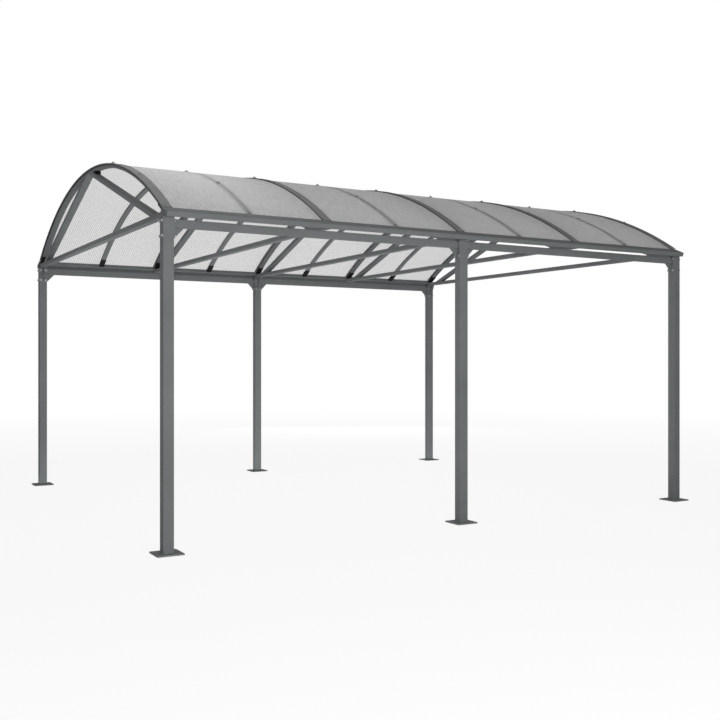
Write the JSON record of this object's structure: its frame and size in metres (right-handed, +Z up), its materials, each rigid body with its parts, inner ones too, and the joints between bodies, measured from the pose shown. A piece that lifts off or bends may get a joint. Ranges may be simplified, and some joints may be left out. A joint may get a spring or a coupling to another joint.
{
  "type": "bike shelter",
  "caption": "Open bike shelter of grey steel: square posts on base plates, lower beams with corner brackets, tilted eave purlins and trussed arches under a barrel roof of clear sheets",
  "frame": {"origin": "ground level under the middle of the shelter", "axes": "X along the shelter with the picture's left end at -X, Y across it with the picture's front row of posts at -Y, Z up"},
  "size_m": [5.34, 4.475, 3.0941],
  "materials": {
    "frame_steel": "satin grey powder coat",
    "plate_steel": "dark grey powder coat",
    "strip_steel": "satin dark grey powder coat",
    "cap_plastic": "matt dark grey moulding",
    "roof_sheet": "translucent polycarbonate with a fine prismatic pattern"
  },
  "bodies": {
    "root": {"arch_1": "frame_steel", "arch_2": "frame_steel", "arch_3": "frame_steel", "arch_4": "frame_steel", "arch_5": "frame_steel", "base_plates_front": "plate_steel", "base_plates_rear": "plate_steel", "beam_front_left": "frame_steel", "beam_front_right": "frame_steel", "beam_rear_left": "frame_steel", "beam_rear_right": "frame_steel", "corner_brackets_front": "frame_steel", "corner_brackets_rear": "frame_steel", "cover_strips": "strip_steel", "eave_purlin_front": "frame_steel", "eave_purlin_rear": "frame_steel", "knee_brackets_front": "frame_steel", "knee_brackets_rear": "frame_steel", "post_front_left": "frame_steel", "post_front_middle": "frame_steel", "post_front_right": "frame_steel", "post_rear_left": "frame_steel", "post_rear_middle": "frame_steel", "post_rear_right": "frame_steel", "purlin_caps_front": "cap_plastic", "purlin_caps_rear": "cap_plastic", "rib_1": "frame_steel", "rib_2": "frame_steel", "rib_3": "frame_steel", "rib_4": "frame_steel", "roof_sheet_1": "roof_sheet", "roof_sheet_2": "roof_sheet", "roof_sheet_3": "roof_sheet", "roof_sheet_4": "roof_sheet", "struts_1": "frame_steel", "struts_2": "frame_steel", "struts_3": "frame_steel", "struts_4": "frame_steel", "struts_5": "frame_steel", "tie_1": "frame_steel", "tie_2": "frame_steel", "tie_3": "frame_steel", "tie_4": "frame_steel", "tie_5": "frame_steel"}
  },
  "joints": []
}
